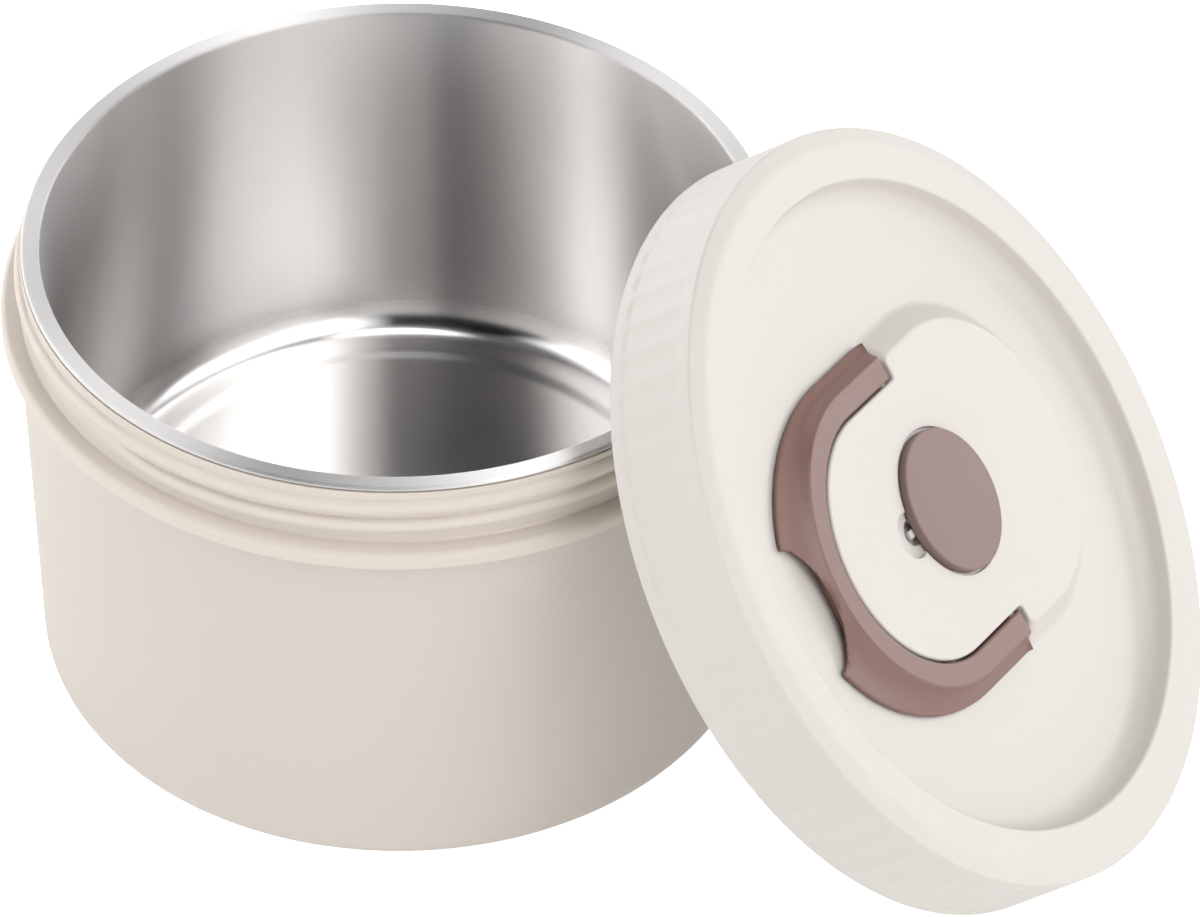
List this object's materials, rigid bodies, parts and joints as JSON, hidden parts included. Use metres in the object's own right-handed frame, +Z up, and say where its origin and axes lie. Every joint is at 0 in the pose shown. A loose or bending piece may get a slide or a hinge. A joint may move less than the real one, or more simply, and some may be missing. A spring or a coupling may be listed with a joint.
{
  "type": "insulated food container",
  "caption": "Round insulated food pot with a steel bowl and threaded neck, its screw lid taken off and leaning on the rim; the lid has a folding bail handle and a vent disc.",
  "frame": {"origin": "centre of the container's base, on the surface that it stands on", "axes": "+Z up along the container's axis, out of the bowl's mouth; the lid leans at the +X side, turned a little towards -Y, the viewer's side in the picture"},
  "size_m": [0.2248, 0.1894, 0.1271],
  "materials": {
    "steel": "satin stainless steel with a polished rim",
    "beige_coating": "matte warm beige",
    "cream_plastic": "cream moulded plastic, semi-matte",
    "white_plastic": "white moulded plastic",
    "mauve_plastic": "mauve brown moulded plastic, semi-matte",
    "mauve_silicone": "matte mauve silicone",
    "white_silicone": "translucent white silicone",
    "foam": "rigid insulating foam"
  },
  "bodies": {
    "container": {"outer_shell": "beige_coating", "inner_bowl": "steel", "body_insulation": "foam", "neck_collar": "cream_plastic", "rim_seal": "white_silicone"},
    "seal": {"sealing_ring": "white_silicone"},
    "lid": {"lid_cover": "cream_plastic", "lid_liner": "white_plastic", "lid_insulation": "foam", "hinge_pin_left": "steel", "hinge_pin_right": "steel"},
    "handle": {"carry_handle": "mauve_plastic"},
    "vent": {"vent_cap": "mauve_silicone", "vent_stem": "white_plastic"}
  },
  "joints": [
    {"name": "lid_lift", "type": "slide", "parent": "container", "child": "seal", "axis": [0.749, -0.2448, 0.6157], "range_m": [0, 0.12]},
    {"name": "lid_turn", "type": "hinge", "parent": "seal", "child": "lid", "pos_m": [0.08776, -0.03984, 0.05745], "axis": [0.749, -0.2448, 0.6157], "continuous": true},
    {"name": "handle_fold", "type": "hinge", "parent": "lid", "child": "handle", "pos_m": [0.10146, -0.04289, 0.0679], "axis": [-0.4848, 0.4308, 0.7612], "range_deg": [0, 100]},
    {"name": "vent_lift", "type": "slide", "parent": "lid", "child": "vent", "axis": [0.749, -0.2448, 0.6157], "range_m": [0, 0.004]}
  ]
}
